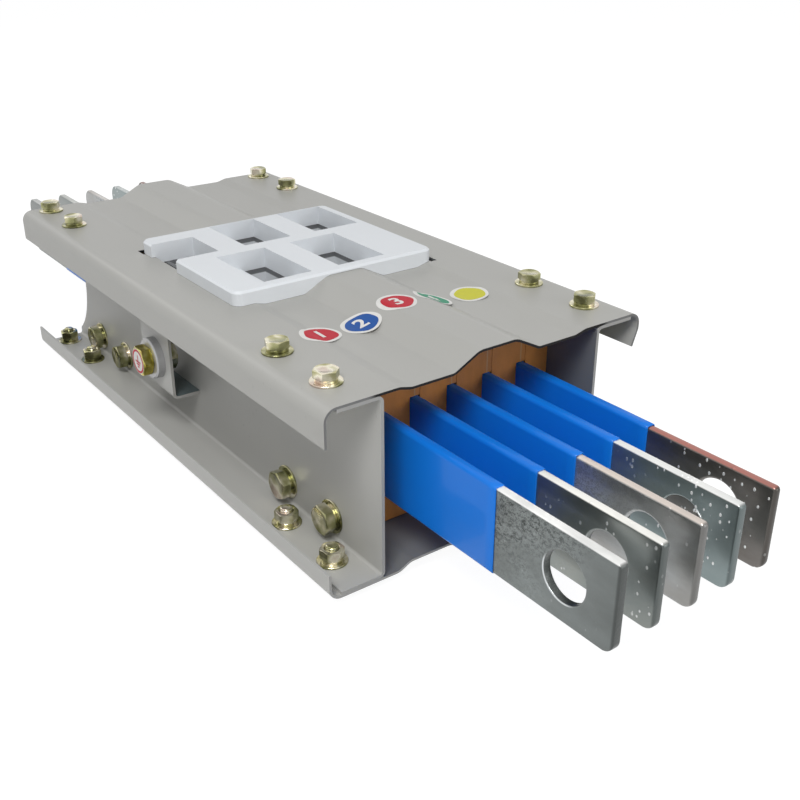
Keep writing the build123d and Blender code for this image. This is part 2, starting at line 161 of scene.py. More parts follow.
class Graph(Tree):
    """One material's node tree, with its surface shader."""

    def __init__(self, material: bpy.types.Material) -> None:
        """Empties the material's tree and adds the surface shader."""
        material.use_nodes = True
        super().__init__(material.node_tree)
        self.shader = self.node("ShaderNodeBsdfPrincipled")
        self.node("ShaderNodeOutputMaterial", {"Surface": Wire(self, self.shader.outputs[0])})
        self.place = self.wire("ShaderNodeTexCoord", out="Object")

    def surface(self, **values: Any) -> None:
        """Fills the surface shader's sockets; an underscore stands for a space."""
        for name, value in values.items():
            self.fill(self.shader.inputs[name.replace("_", " ").title().replace("Ior", "IOR")], value)

    def stretch(self, scale: Point) -> Wire:
        """Object coordinates, scaled along each axis."""
        return self.wire("ShaderNodeMapping", {"Vector": self.place, "Scale": scale})

    def noise(self, scale: float, detail: float = 2.0, rough: float = 0.5, place: Wire | None = None) -> Wire:
        """Noise from 0 to 1, by features per metre, octaves and the weight of the finer ones."""
        values = {"Vector": place or self.place, "Scale": scale, "Detail": detail, "Roughness": rough}
        return self.wire("ShaderNodeTexNoise", values)

    def cells(self, scale: float, place: Wire) -> Wire:
        """Distance to points scattered at so many per metre."""
        return self.wire("ShaderNodeTexVoronoi", {"Vector": place, "Scale": scale})

    def axes(self) -> tuple[Wire, Wire, Wire]:
        """The object coordinates' three numbers."""
        return self._split(self.place)

    def facing(self) -> tuple[Wire, Wire, Wire]:
        """The surface normal's three numbers."""
        return self._split(self.wire("ShaderNodeNewGeometry", out="Normal"))

    def _split(self, vector: Wire) -> tuple[Wire, Wire, Wire]:
        """A vector's three numbers."""
        parts = self.node("ShaderNodeSeparateXYZ", {0: vector})
        return tuple(Wire(self, socket) for socket in parts.outputs)

    def mix(self, factor: Any, low: Any, high: Any) -> Wire:
        """Blends two colours by the share of the second."""
        return self.wire("ShaderNodeMix", {0: factor, 6: low, 7: high}, 2, data_type="RGBA")

    def ramp(self, factor: Wire, places: Sequence[float], colours: Sequence[Colour]) -> Wire:
        """Colours a number by stops."""
        ramp = self.node("ShaderNodeValToRGB", {0: factor})
        stops = ramp.color_ramp.elements
        while len(stops) < len(places):
            stops.new(1.0)
        for stop, place, colour in zip(stops, places, colours):
            stop.position = place
            stop.color = (*colour, 1.0)
        return Wire(self, ramp.outputs[0])

    def bump(self, height: Wire, distance: float, strength: float = 1.0, over: Wire | None = None) -> Wire:
        """Turns a height into a normal.

        Args:
            height: Height, 0 to 1.
            distance: Height of 1 in metres.
            strength: Share of the effect.
            over: A normal to start from.

        Returns:
            The bent normal.
        """
        values = {"Height": height, "Distance": distance, "Strength": strength}
        if over:
            values["Normal"] = over
        return self.wire("ShaderNodeBump", values)


# Finishes


def scaled(colour: Colour, factor: float) -> Colour:
    """A colour made darker or lighter, up to white."""
    return tuple(min(part * factor, 1.0) for part in colour)


@dataclass(frozen=True)
class Finish:
    """What every finish has: a name and the record's slot."""

    name: str
    slot: str

    def paint(self, graph: Graph) -> None:
        """Fills the graph; each finish has its own."""
        raise NotImplementedError

    def material(self) -> bpy.types.Material:
        """Builds the material once and gives it again after that."""
        label = self.name + "_finish"
        found = bpy.data.materials.get(label)
        if found:
            return found
        made = bpy.data.materials.new(label)
        self.paint(Graph(made))
        return made


@dataclass(frozen=True)
class PowderCoat(Finish):
    """Baked grey paint outside on galvanised sheet, with a fine orange peel and sheared end edges; faces in
    the duct's interior are darkened as painted shade, and an end face over the opening can be painted
    near-black as the shadow in the gap under it.
    """

    colour: Colour = (0.45, 0.447, 0.425)
    sheared: Colour = (0.35, 0.345, 0.325)
    # Darker colour for faces in the duct's interior, out of the light: painted shade.
    inside_shade: Colour = (0.172, 0.178, 0.182)
    inside_shade_half: float = 0.0785
    inside_shade_up: float = 1.0
    # Near-black end face over the opening: painted shadow of the gap under the top cover's edge.
    opening: Colour | None = None
    opening_half: float = 0.082
    opening_fade: float = 0.006

    def paint(self, graph: Graph) -> None:
        """Fills the graph with the paint's colour, peel, handling marks and end edges, and with painted shade
        in the duct's interior and in the gap over the opening.
        """
        cloud = graph.noise(7.0, 3.0, 0.45)
        speck = graph.noise(1500.0, 2.0)
        tone = graph.mix(cloud, scaled(self.colour, 0.93), scaled(self.colour, 1.07))
        rub = graph.noise(26.0, 6.0, 0.65, graph.stretch((1.0, 0.15, 1.0))).ease(0.60, 0.80)
        tone = graph.mix(rub * 0.22, tone, scaled(self.colour, 1.18))
        scuff = graph.noise(420.0, 2.0, 0.6).ease(0.66, 0.72) * graph.noise(20.0, 2.0).ease(0.55, 0.7)
        tone = graph.mix(scuff * 0.35, tone, scaled(self.colour, 0.55))
        _, end, up = graph.facing()
        across, _, _ = graph.axes()
        # Painted shade: faces in the duct's interior take the darker colour, the upward ones or, with the
        # sign flipped, the downward ones.
        inside_shade_mask = (abs(across) < self.inside_shade_half) * (up * self.inside_shade_up > -0.3)
        tone = graph.mix(inside_shade_mask, tone, self.inside_shade)
        cut = self.sheared
        ended = abs(end).ease(0.80, 0.92)
        # Painted shadow: over the opening the end face goes near-black, standing for the shade in the gap
        # under the cover's edge.
        if self.opening:
            beyond = abs(across).ease(self.opening_half, self.opening_half + self.opening_fade)
            cut = graph.mix(beyond, self.opening, cut)
        tone = graph.mix(ended, tone, cut)
        peel = graph.bump(speck, 0.00003, 0.5)
        wave = graph.bump(graph.noise(45.0, 1.0), 0.0003, 0.08, peel)
        graph.surface(base_color=tone, roughness=0.34 + cloud * 0.12 - rub * 0.06 + ended * 0.5,
                      specular_ior_level=0.4, normal=wave)


class TinLook(Enum):
    """How a conductor's tinning has come out: pale, dark, edge, grain, spots; the edge colour is a painted
    highlight where it is pale and wear that shows copper where it is coppery.
    """

    SANDED = ((0.255, 0.28, 0.275), (0.165, 0.18, 0.175), (0.93, 0.93, 0.91), 0.95, 0.10)
    SMOOTH = ((0.33, 0.345, 0.32), (0.22, 0.25, 0.245), (0.93, 0.92, 0.87), 0.10, 0.35)
    STREAKED = ((0.66, 0.69, 0.70), (0.36, 0.355, 0.34), (0.70, 0.62, 0.56), 0.60, 0.15)
    SPLASHED = ((0.37, 0.43, 0.43), (0.28, 0.34, 0.34), (0.86, 0.86, 0.84), 0.05, 1.00)
    COPPERY = ((0.30, 0.285, 0.27), (0.17, 0.155, 0.14), (0.44, 0.185, 0.155), 0.10, 0.95)


@dataclass(frozen=True)
class TinnedCopper(Finish):
    """Hot tin on copper: grey metal with grain, splashes and an upper edge that is partly wear and partly a
    painted highlight.
    """

    look: TinLook = TinLook.SMOOTH
    low: float = 0.0399
    high: float = 0.0899
    sleeve: float = 0.298
    reach: float = 0.380
    hole_at: float = 0.347
    hole: float = 0.014
    glint: Colour = (0.80, 0.81, 0.81)
    dot: Colour = (0.90, 0.91, 0.90)
    # Colour of the hole's rim: a faint pale burr and a painted highlight.
    burr_and_highlight: Colour = (0.76, 0.79, 0.80)
    shadow: Colour = (0.045, 0.046, 0.044)

    def paint(self, graph: Graph) -> None:
        """Fills the graph with the tin's grain, dots, tip, edge and hole for this look; the edge and the
        hole's rim carry painted highlights.
        """
        pale, dark, edge, grained, dotted = self.look.value
        _, along, height = graph.axes()
        out = (abs(along) - self.sleeve) / (self.reach - self.sleeve)
        up = (height - self.low) / (self.high - self.low)
        flow = graph.stretch((1.0, 0.45, 1.0))
        cloud = graph.noise(30.0, 4.0, 0.6, flow)
        grain = graph.noise(1500.0, 3.0, 0.75)
        clump = graph.noise(600.0, 3.0, 0.65, graph.stretch((1.0, 0.6, 1.0)))
        colour = graph.mix(cloud.ease(0.30, 0.72), dark, pale)
        colour = graph.mix(out.ease(0.1, 1.0) * 0.45, colour, scaled(dark, 0.55))
        density = (0.38 + up * 0.38 - out * 0.75 + (cloud - 0.5) * 1.2).ease(0.05, 0.65)
        pits = (grain * 0.55 + clump * 0.45).ease(0.47, 0.56) * density
        colour = graph.mix(pits * grained, colour, scaled(dark, 0.42))
        sparkle = grain.ease(0.60, 0.70) * density
        colour = graph.mix(sparkle * (0.75 * grained), colour, self.glint)
        spot = graph.cells(250.0, graph.stretch((1.0, 1.0, 0.72)))
        sparse = (graph.noise(70.0, 1.0) + out.ease(0.0, 0.6) * (0.5 * dotted)).ease(0.58, 0.70)
        splash = (1.0 - spot.ease(0.15, 0.21)) * sparse * min(1.0, dotted * 1.6)
        colour = graph.mix(splash, colour, self.dot)
        rough = 0.24 + cloud * 0.14 + pits * (0.35 * grained) + splash * 0.2
        beyond, above = abs(along) - self.hole_at, height - (self.low + self.high) / 2
        from_hole = (beyond ** 2.0 + above ** 2.0) ** 0.5
        rim = from_hole.ease(self.hole, self.hole + 0.0002)
        rim = rim * (1.0 - from_hole.ease(self.hole + 0.0006, self.hole + 0.001))
        # The hole's rim: a faint pale burr all round, and a painted highlight crescent on its lower side
        # toward the bar's middle.
        lit = (self.hole_at - abs(along) - above).ease(0.004, 0.014)
        colour = graph.mix(rim * (lit * 0.75 + 0.05), colour, self.burr_and_highlight)
        bore = 1.0 - from_hole.ease(self.hole - 0.0001, self.hole + 0.0001)
        colour = graph.mix(bore * 0.85, colour, self.shadow)
        # Upper edge: a painted highlight where the look's edge colour is pale, and wear showing copper where
        # it is coppery; weaker toward the back.
        wear_and_highlight = height.ease(self.high - 0.0012, self.high - 0.0004)
        wear_and_highlight = wear_and_highlight * (0.72 + graph.noise(45.0, 3.0, 0.6, flow).ease(0.35, 0.6) * 0.28)
        wear_and_highlight = wear_and_highlight * (1.0 - along.ease(0.0, 0.1) * 0.6)
        colour = graph.mix(wear_and_highlight, colour, edge)
        tip = abs(along).ease(self.reach - 0.0022, self.reach - 0.0006)
        colour = graph.mix(tip * 0.8, colour, scaled(dark, 0.36))
        relief = graph.bump(grain * 0.5 + clump * 0.5, 0.0002, 0.25 + 0.55 * grained)
        relief = graph.bump(splash, 0.0004, 0.7, relief)
        graph.surface(base_color=colour, metallic=0.85, roughness=rough, normal=relief)


@dataclass(frozen=True)
class ShrinkSleeve(Finish):
    """Glossy blue heat-shrink tube, drawn tight over a flat bar."""

    colour: Colour = (0.006, 0.190, 0.74)

    def paint(self, graph: Graph) -> None:
        """Fills the graph with the tube's gloss and its slight draw marks."""
        cloud = graph.noise(14.0, 2.0, 0.5, graph.stretch((1.0, 0.4, 1.0)))
        tone = graph.mix(cloud, scaled(self.colour, 0.82), scaled(self.colour, 1.15))
        marks = graph.noise(55.0, 2.0, 0.5, graph.stretch((1.0, 0.3, 1.0)))
        graph.surface(base_color=tone, roughness=0.30 + cloud * 0.10, specular_ior_level=0.20,
                      coat_weight=0.16, coat_roughness=0.05, normal=graph.bump(marks, 0.0004, 0.22))


@dataclass(frozen=True)
class MouldedInsulator(Finish):
    """Brown glass-filled moulding with a faint flow pattern and pale seams between blocks."""

    colour: Colour = (0.56, 0.218, 0.046)
    pitch: float = 0.0275
    fibre: Colour = (0.62, 0.36, 0.14)
    seam: Colour = (0.55, 0.40, 0.22)

    def paint(self, graph: Graph) -> None:
        """Fills the graph with flow lines, fibre specks and a pale rim on the joints."""
        flow = graph.noise(38.0, 5.0, 0.65, graph.stretch((1.0, 1.0, 0.4)))
        fibre = graph.noise(900.0, 2.0, 0.8).ease(0.62, 0.72)
        tone = graph.mix(flow.ease(0.25, 0.8), scaled(self.colour, 0.8), scaled(self.colour, 1.25))
        tone = graph.mix(fibre * 0.3, tone, self.fibre)
        across, _, _ = graph.axes()
        off = abs(across.maths("FRACT", across / self.pitch + 0.5) - 0.5) * self.pitch
        tone = graph.mix((1.0 - off.ease(0.0002, 0.0006)) * 0.6, tone, self.seam)
        relief = graph.bump(graph.noise(600.0, 2.0), 0.00008, 0.6)
        graph.surface(base_color=tone, roughness=0.50 + flow * 0.15, normal=relief)


@dataclass(frozen=True)
class YellowZinc(Finish):
    """Zinc plating with a yellow passivation that shifts from gold to olive."""

    dark: Colour = (0.150, 0.146, 0.065)
    olive: Colour = (0.315, 0.315, 0.150)
    body: Colour = (0.51, 0.48, 0.29)
    pale: Colour = (0.84, 0.80, 0.64)
    blush: Colour = (0.66, 0.55, 0.46)
    rubbed: Colour = (0.86, 0.85, 0.74)

    def paint(self, graph: Graph) -> None:
        """Fills the graph with the passivation's shifting tints, a little lighter on upward faces as a
        painted highlight.
        """
        cloud = graph.noise(85.0, 2.0, 0.45)
        wear = graph.noise(800.0, 3.0, 0.7)
        _, _, up = graph.facing()
        # Painted highlight: upward faces shift a little toward the paler tints.
        shade = cloud + up.ease(0.5, 0.9) * 0.06
        tints = (self.dark, self.olive, self.body, self.pale, self.blush)
        tint = graph.ramp(shade, (0.34, 0.45, 0.54, 0.62, 0.72), tints)
        tint = graph.mix(wear.ease(0.56, 0.74) * 0.3, tint, self.rubbed)
        tint = graph.mix((1.0 - wear).ease(0.60, 0.74) * 0.25, tint, self.dark)
        graph.surface(base_color=tint, metallic=0.9, roughness=0.12 + wear * 0.18,
                      normal=graph.bump(cloud, 0.0006, 0.5))


@dataclass(frozen=True)
class WhiteMoulding(Finish):
    """Cool white plastic with soft gloss."""

    colour: Colour = (0.705, 0.73, 0.755)

    def paint(self, graph: Graph) -> None:
        """Fills the graph with the plastic's sink marks and faint soiling."""
        cloud = graph.noise(40.0, 3.0)
        tone = graph.mix(cloud, self.colour, scaled(self.colour, 1.07))
        relief = graph.bump(graph.noise(260.0, 2.0), 0.00006, 0.5)
        graph.surface(base_color=tone, roughness=0.36 + cloud * 0.12, coat_weight=0.12, coat_roughness=0.2,
                      normal=relief)


@dataclass(frozen=True)
class GreyMoulding(Finish):
    """Light grey plastic of the contact shrouds."""

    colour: Colour = (0.66, 0.68, 0.70)
    mouth: tuple[float, float] = (0.1146, 0.1154)
    # Near-black colour from the mouth's height up: painted shadow of the recess under the outlet.
    joint_shadow: Colour = (0.06, 0.062, 0.064)

    def paint(self, graph: Graph) -> None:
        """Fills the graph with a fine spark-eroded texture and a painted shadow at the mouth."""
        grain = graph.noise(1200.0, 2.0)
        tone = graph.mix(graph.noise(50.0, 2.0), scaled(self.colour, 0.9), scaled(self.colour, 1.1))
        _, _, height = graph.axes()
        # Painted shadow: near-black from the mouth's height up.
        tone = graph.mix(height.ease(*self.mouth) * 0.85, tone, self.joint_shadow)
        graph.surface(base_color=tone, roughness=0.45 + grain * 0.1, normal=graph.bump(grain, 0.00005, 0.6))


@dataclass(frozen=True)
class BareSteel(Finish):
    """Turned steel with concentric tool marks about an X axis."""

    along: float = 0.007
    level: float = 0.0649
    rings: float = 1800.0
    dark: Colour = (0.34, 0.34, 0.345)
    pale: Colour = (0.47, 0.47, 0.475)

    def paint(self, graph: Graph) -> None:
        """Fills the graph with rings about the boss's axis."""
        _, along, high = graph.axes()
        radius = ((along - self.along) ** 2.0 + (high - self.level) ** 2.0) ** 0.5
        rings = graph.noise(1.0, 2.0, 0.5, graph.wire("ShaderNodeCombineXYZ", {0: radius * self.rings}))
        graph.surface(base_color=graph.mix(rings, self.dark, self.pale), metallic=0.55,
                      roughness=0.34 + rings * 0.14, normal=graph.bump(rings, 0.00006, 0.5))


@dataclass(frozen=True)
class PrintedVinyl(Finish):
    """Ink on a vinyl label."""

    colour: Colour = (0.8, 0.8, 0.8)

    def paint(self, graph: Graph) -> None:
        """Fills the graph with slightly uneven ink."""
        cloud = graph.noise(220.0, 3.0)
        tone = graph.mix(cloud, scaled(self.colour, 0.86), self.colour)
        graph.surface(base_color=tone, roughness=0.4 + cloud * 0.15, specular_ior_level=0.2,
                      normal=graph.bump(cloud, 0.00006, 0.4))


PAINT = PowderCoat("housing_paint", "housing_paint")
# Top cover: its underside in the duct takes the painted shade, and its end face over the opening is painted
# near-black as the shadow in the gap under its edge.
COVER_PAINT = PowderCoat("cover_paint", "housing_paint", (0.405, 0.401, 0.377), sheared=(0.17, 0.17, 0.165),
                         inside_shade_up=-1.0, opening=(0.006, 0.005, 0.005))
# Bracket: its hollow takes a dark teal painted shade.
BRACKET_PAINT = PowderCoat("bracket_paint", "housing_paint", inside_shade=(0.105, 0.135, 0.14), inside_shade_half=0.0985)
ZINC = YellowZinc("yellow_zinc", "yellow_zinc")
GOLD_ZINC = YellowZinc("gold_zinc", "yellow_zinc", (0.10, 0.085, 0.01), (0.25, 0.21, 0.025),
                       (0.42, 0.35, 0.05), (0.66, 0.60, 0.20), (0.52, 0.40, 0.12))
SLEEVE = ShrinkSleeve("blue_sleeve", "blue_sleeve")
INSULATOR = MouldedInsulator("brown_insulator", "brown_insulator")
WHITE = WhiteMoulding("outlet_white", "outlet_white")
GREY = GreyMoulding("guide_grey", "guide_grey")
STEEL = BareSteel("bare_steel", "bare_steel")


# Mesh helpers


def added(name: str, data: bpy.types.ID) -> Object:
    """A new object in the scene."""
    made = bpy.data.objects.new(name, data)
    bpy.context.scene.collection.objects.link(made)
    return made


def mesh_of(points: Sequence[Point], faces: Sequence[tuple[int, ...]]) -> Mesh:
    """A new mesh from its points and faces."""
    mesh = bpy.data.meshes.new("mesh")
    mesh.from_pydata(points, [], faces)
    return mesh


def mesh_object(name: str, mesh: Mesh, sharp: float = 35.0) -> Object:
    """Puts a mesh in the scene, shaded smooth except at sharp edges.

    Args:
        name: The piece's name.
        mesh: Its mesh, in place.
        sharp: Angle in degrees past which an edge stays sharp.

    Returns:
        The new object.
    """
    mesh.name = name
    mesh.polygons.foreach_set("use_smooth", [True] * len(mesh.polygons))
    mesh.set_sharp_from_angle(angle=math.radians(sharp))
    return added(name, mesh)


def ring_stack(rings: Sequence[Sequence[Point]], closed: bool = False) -> Mesh:
    """Joins rings of equal length by quads and caps the open ends.

    Args:
        rings: Rings of points, each in the same turning sense.
        closed: Whether the last ring joins the first, as on a washer.

    Returns:
        The mesh.
    """
    count, total = len(rings[0]), len(rings)
    faces = []
    for i in range(total if closed else total - 1):
        near, far = i * count, (i + 1) % total * count
        for j in range(count):
            after = (j + 1) % count
            faces.append((near + j, near + after, far + after, far + j))
    if not closed:
        faces.append(tuple(reversed(range(count))))
        faces.append(tuple(range((total - 1) * count, total * count)))
    mesh = mesh_of([point for ring in rings for point in ring], faces)
    outward(mesh)
    return mesh


def outward(mesh: Mesh) -> None:
    """Turns every face of a closed mesh outwards."""
    work = bmesh.new()
    work.from_mesh(mesh)
    bmesh.ops.remove_doubles(work, verts=work.verts, dist=1e-7)
    bmesh.ops.recalc_face_normals(work, faces=work.faces)
    work.to_mesh(mesh)
    work.free()


def merge(meshes: Sequence[Mesh]) -> Mesh:
    """Joins several meshes into one."""
    work = bmesh.new()
    for mesh in meshes:
        work.from_mesh(mesh)
    joined = bpy.data.meshes.new("joined")
    work.to_mesh(joined)
    work.free()
    return joined


def evaluated(holder: Object) -> Mesh:
    """The mesh that an object gives with its modifiers; the object goes."""
    bpy.context.view_layer.update()
    mesh = bpy.data.meshes.new_from_object(holder.evaluated_get(bpy.context.evaluated_depsgraph_get()))
    bpy.data.objects.remove(holder)
    return mesh


def around(count: int) -> list[float]:
    """Even turns of a circle."""
    return [2 * math.pi * i / count for i in range(count)]


def polar(radius: float, turn: float, height: float) -> Point:
    """A point about Z in metres, from sizes in millimetres."""
    return (radius * MM * math.cos(turn), radius * MM * math.sin(turn), height * MM)


def finish_piece(piece: Object, finish: Finish, *nodes: str) -> None:
    """Dresses a piece, lets it ride on the duct and hides the CAD nodes that it stands for.

    Args:
        piece: The piece.
        finish: Its finish.
        *nodes: CAD nodes that it stands for.
    """
    piece.data.materials.clear()
    piece.data.materials.append(finish.material())
    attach(piece, "root")
    if nodes:
        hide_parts(*nodes)
    LOG.info("piece %s: %d faces", piece.name, len(piece.data.polygons))


def dress_node(node: Object, finish: Finish) -> None:
    """Gives a CAD node its finish, and leaves its shape alone."""
    if node.material_slots:
        for place in node.material_slots:
            place.material = finish.material()
    else:
        node.data.materials.append(finish.material())
    LOG.info("node %s: %s", node.name, finish.name)


# Fasteners


@dataclass(frozen=True)
class Thread:
    """A metric hexagon fastener's sizes, in millimetres."""

    size: float
    flats: float
    head: float
    nut: float
    washer: float
    washer_thickness: float
    pitch: float
    spring: float
    chamfer: float = 0.5
    play: float = 0.1
    thread_depth: float = 0.32
    tip: float = 1.1
    tip_length: float = 1.2
    tip_draw: float = 0.7
    rows_per_turn: int = 6
    face_share: float = 0.95
    corner_share: float = 1.138
    segments: int = 48

    def circle(self, radius: float, height: float) -> list[Point]:
        """A ring of points at one height."""
        return [polar(radius, turn, height) for turn in around(self.segments)]

    def circles(self, section: Sequence[tuple[float, float]]) -> list[list[Point]]:
        """Rings by pairs of radius and height."""
        return [self.circle(radius, height) for radius, height in section]

    def face(self) -> float:
        """Radius of the flat that the corners' chamfer leaves."""
        return self.flats / 2 * self.face_share

    def hexagon(self, height: float, drop: float, sign: float) -> list[Point]:
        """The hexagon's edge, cut by the corner chamfer's cone.

        Args:
            height: Height of the flat end.
            drop: Tangent of the chamfer's angle; nought leaves the edge level.
            sign: Which way the corners fall from the end.

        Returns:
            The ring of points.
        """
        ring = []
        for turn in around(self.segments):
            off = (turn + math.pi / 6) % (math.pi / 3) - math.pi / 6
            radius = min(self.flats / 2 / math.cos(off), self.flats / 2 * self.corner_share)
            ring.append(polar(radius, turn, height + sign * drop * (radius - self.face())))
        return ring

    def blank(self, high: float) -> Mesh:
        """A bolt's head on a washer face, with its upper corners turned off and a sunk top."""
        inner, seat = self.face(), 0.4
        below = [(inner * 0.99, 0.0), (inner, 0.0), (inner, seat - 0.05)]
        above = [(inner, high), (inner * 0.93, high), (inner * 0.90, high - 0.12)]
        edges = [self.hexagon(seat, 0.0, 1.0), self.hexagon(high, self.chamfer, -1.0)]
        return ring_stack([*self.circles(below), *edges, *self.circles(above)])

    def threaded(self, grip: float, ridges: float) -> Mesh:
        """A shank down from nought whose last stretch carries the thread.

        Args:
            grip: Its length.
            ridges: Length of the stretch that shows its thread.

        Returns:
            The mesh.
        """
        radius, depth = self.size / 2, self.pitch * self.thread_depth
        rings = [self.circle(radius, 0.0), self.circle(radius, ridges - grip)]
        steps = int(ridges / self.pitch * self.rows_per_turn)
        for row in range(1, steps):
            level = ridges - grip - ridges * row / steps
            core = radius - self.tip_draw * (1.0 - min(1.0, (level + grip) / self.tip_length))
            ring = []
            for i, turn in enumerate(around(self.segments)):
                crest = 1.0 - abs(2.0 * ((level / self.pitch - i / self.segments) % 1.0) - 1.0)
                ring.append(polar(core - depth * (1.0 - crest), turn, level))
            rings.append(ring)
        rings.append(self.circle(radius - self.tip, -grip))
        return ring_stack(rings)

    def bolt(self, grip: float, ridges: float) -> Mesh:
        """Head above the seat, shank and thread below it."""
        return merge([self.blank(self.head), self.threaded(grip, ridges)])

    def nut_mesh(self) -> Mesh:
        """Nut with its bore and the bore's countersinks."""
        bore, sink = self.size / 2 + self.play, 0.6
        below = [(bore + sink, 0.0), (self.face(), 0.0)]
        above = [(self.face(), self.nut), (bore + sink, self.nut), (bore, self.nut - sink), (bore, sink)]
        edges = [self.hexagon(0.0, self.chamfer, 1.0), self.hexagon(self.nut, self.chamfer, -1.0)]
        return ring_stack([*self.circles(below), *edges, *self.circles(above)], closed=True)

    def section(self, inner: float, outer: float, low: float, high: float, edge: float) -> list:
        """A washer's section as pairs of radius and height, with its corners cut by an edge."""
        return [(inner, low + edge), (inner + edge, low), (outer - edge, low), (outer, low + edge),
                (outer, high - edge), (outer - edge, high), (inner + edge, high), (inner, high - edge)]

    def spring_mesh(self, low: float, high: float) -> Mesh:
        """A split spring washer, squeezed nearly flat between two heights."""
        inner, gap, steps, rise = self.size / 2 + self.play, 0.10, 40, 0.25
        section = self.section(inner, inner + self.spring, low, high, 0.2)
        rings = []
        for step in range(steps + 1):
            turn = gap + (2 * math.pi - 2 * gap) * step / steps
            lift = rise * (step / steps - 0.5)
            rings.append([polar(r, turn, min(max(h + lift, low), high)) for r, h in section])
        return ring_stack(rings)

    def washer_mesh(self) -> Mesh:
        """Flat washer with its punched edges rounded."""
        section = self.section(self.size / 2 + 0.5, self.washer / 2, 0.0, self.washer_thickness, 0.25)
        return ring_stack(self.circles(section), closed=True)


M8 = Thread(8.0, 13.0, 4.9, 6.3, 18.4, 1.3, 1.25, 2.3)
M10 = Thread(10.0, 17.0, 6.4, 5.0, 21.5, 1.4, 1.5, 2.7)
M12 = Thread(12.0, 19.0, 7.5, 10.0, 24.0, 2.5, 1.75, 3.0)


class Facing(Enum):
    """Which way a fastener's head or nut looks, as turns about X, Y and Z."""

    UP = (0.0, 0.0, 0.0)
    DOWN = (math.pi, 0.0, 0.0)
    LEFT = (0.0, -math.pi / 2, 0.0)
    RIGHT = (0.0, math.pi / 2, 0.0)


@dataclass(frozen=True)
class Spread:
    """How far fasteners may turn about their own axes, in radians, and the seed of it."""

    twist: float
    seed: int


class FastenerNodes:
    """Geometry Nodes tree that sets one fastener on every point it is given."""

    kinds = {"Points": "Geometry", "Fastener": "Object", "Facing": "Vector", "Twist": "Float",
             "Seed": "Int", "Finish": "Material"}

    def __init__(self) -> None:
        """Builds the tree and its named inputs."""
        self.group = bpy.data.node_groups.new("fasteners_on_points", "GeometryNodeTree")
        face = self.group.interface
        self.inputs = {}
        for name, kind in self.kinds.items():
            made = face.new_socket(name, in_out="INPUT", socket_type="NodeSocket" + kind)
            self.inputs[name] = made.identifier
        face.new_socket("Fasteners", in_out="OUTPUT", socket_type="NodeSocketGeometry")
        tree = Tree(self.group)
        given = {socket.name: Wire(tree, socket) for socket in tree.node("NodeGroupInput").outputs}
        source = {"Object": given["Fastener"], "As Instance": True}
        part = tree.wire("GeometryNodeObjectInfo", source, "Geometry", transform_space="ORIGINAL")
        spin = tree.node("FunctionNodeRandomValue", {"Seed": given["Seed"]}, data_type="FLOAT")
        limits = {socket.name: socket for socket in spin.inputs if socket.enabled}
        tree.fill(limits["Min"], given["Twist"] * -1.0)
        tree.fill(limits["Max"], given["Twist"])
        drawn = Wire(tree, next(socket for socket in spin.outputs if socket.enabled))
        eulers = (given["Facing"], tree.wire("ShaderNodeCombineXYZ", {"Z": drawn}))
        turns = {i: tree.wire("FunctionNodeEulerToRotation", {0: eulers[i]}) for i in (0, 1)}
        both = tree.wire("FunctionNodeRotateRotation", turns, rotation_space="LOCAL")
        places = {"Points": given["Points"], "Instance": part, "Rotation": both}
        put = tree.wire("GeometryNodeInstanceOnPoints", places)
        real = tree.wire("GeometryNodeRealizeInstances", {0: put})
        coat = tree.wire("GeometryNodeSetMaterial", {0: real, "Material": given["Finish"]})
        tree.node("NodeGroupOutput", {0: coat})

    def place(self, source: Mesh, spots: Sequence[Point], facing: Facing, spread: Spread) -> Mesh:
        """Sets a fastener on each spot and gives the result as a plain mesh.

        Args:
            source: The fastener, standing on the XY plane.
            spots: Seats, in metres.
            facing: Which way the fasteners look.
            spread: How they turn about their own axes.

        Returns:
            The realised mesh.
        """
        holder = added("holder", mesh_of(spots, []))
        pattern = added("pattern", source)
        modifier = holder.modifiers.new("fasteners", "NODES")
        modifier.node_group = self.group
        given = {"Fastener": pattern, "Facing": facing.value, "Twist": spread.twist, "Seed": spread.seed,
                 "Finish": ZINC.material()}
        for name, value in given.items():
            modifier[self.inputs[name]] = value
        result = evaluated(holder)
        bpy.data.objects.remove(pattern)
        return result


